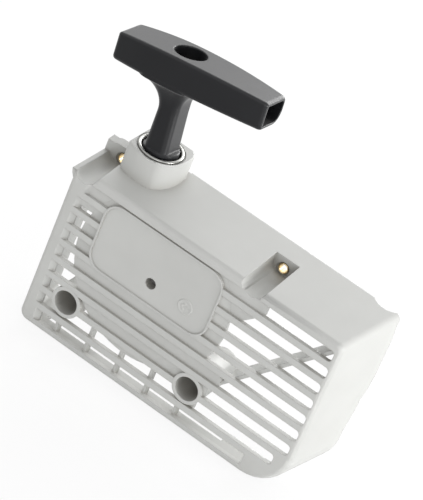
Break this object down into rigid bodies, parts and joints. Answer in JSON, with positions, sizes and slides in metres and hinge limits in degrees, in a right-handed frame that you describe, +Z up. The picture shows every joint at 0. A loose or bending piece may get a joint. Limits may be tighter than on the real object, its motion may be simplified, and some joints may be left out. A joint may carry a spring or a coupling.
{
  "type": "recoil starter cover",
  "caption": "Moulded recoil starter cover of a petrol cut-off saw, with a slanted louvre grille, recessed screw points, a rope collar and a black T-grip on its rewind starter.",
  "frame": {"origin": "centre of the footprint of the whole object, on the plane of the cover's bottom edge", "axes": "+X to the right along the louvred front, +Y from the front to the open engine side, +Z up towards the grip"},
  "size_m": [0.2262, 0.0589, 0.2103],
  "materials": {
    "grey_housing": "fine grained warm light grey moulding",
    "black_grip": "satin black moulding",
    "black_inner_plastic": "plain black moulding",
    "bright_steel": "bright pressed metal",
    "sleeve_brass": "dull yellow metal",
    "bronze": "sintered",
    "pin_steel": "ground",
    "pawl_steel": "hardened",
    "spring_steel": "oiled",
    "rope": "braided cord"
  },
  "bodies": {
    "cover": {"starter_cover": "grey_housing", "rope_bush": "bright_steel", "upper_left_sleeve": "sleeve_brass", "upper_right_sleeve": "sleeve_brass", "lower_left_sleeve": "sleeve_brass", "lower_right_sleeve": "sleeve_brass", "bearing_pin": "pin_steel", "thrust_washer": "pin_steel", "e_clip": "pin_steel", "spring_cassette": "black_inner_plastic", "rewind_spring": "spring_steel"},
    "grip": {"grip": "black_grip", "grip_knot": "rope", "rope_lead": "rope"},
    "rotor": {"rope_rotor": "black_inner_plastic", "rotor_bush": "bronze", "rope_coil": "rope", "rotor_knot": "rope", "pawl_spring": "spring_steel"},
    "pawl_1": {"pawl_1": "pawl_steel"},
    "pawl_2": {"pawl_2": "pawl_steel"}
  },
  "joints": [
    {"name": "grip_pull", "type": "slide", "parent": "cover", "child": "grip", "axis": [-0.1346, 0.1259, 0.9829], "range_m": [0, 0.8], "stiffness_N_per_m": 15, "springref_m": -0.6},
    {"name": "rotor_turn", "type": "hinge", "parent": "cover", "child": "rotor", "pos_m": [-0.0223, 0, 0.0773], "axis": [0, 1, 0], "range_deg": [0, 1480]},
    {"name": "pawl_1_swing", "type": "hinge", "parent": "rotor", "child": "pawl_1", "pos_m": [-0.0023, 0, 0.0773], "axis": [0, 1, 0], "range_deg": [0, 30], "stiffness_Nm_per_rad": 0.005},
    {"name": "pawl_2_swing", "type": "hinge", "parent": "rotor", "child": "pawl_2", "pos_m": [-0.0423, 0, 0.0773], "axis": [0, 1, 0], "range_deg": [0, 30], "stiffness_Nm_per_rad": 0.005}
  ],
  "couplings": [
    {"joint": "rotor_turn", "follows": "grip_pull", "rad_per_m": 32.236}
  ]
}
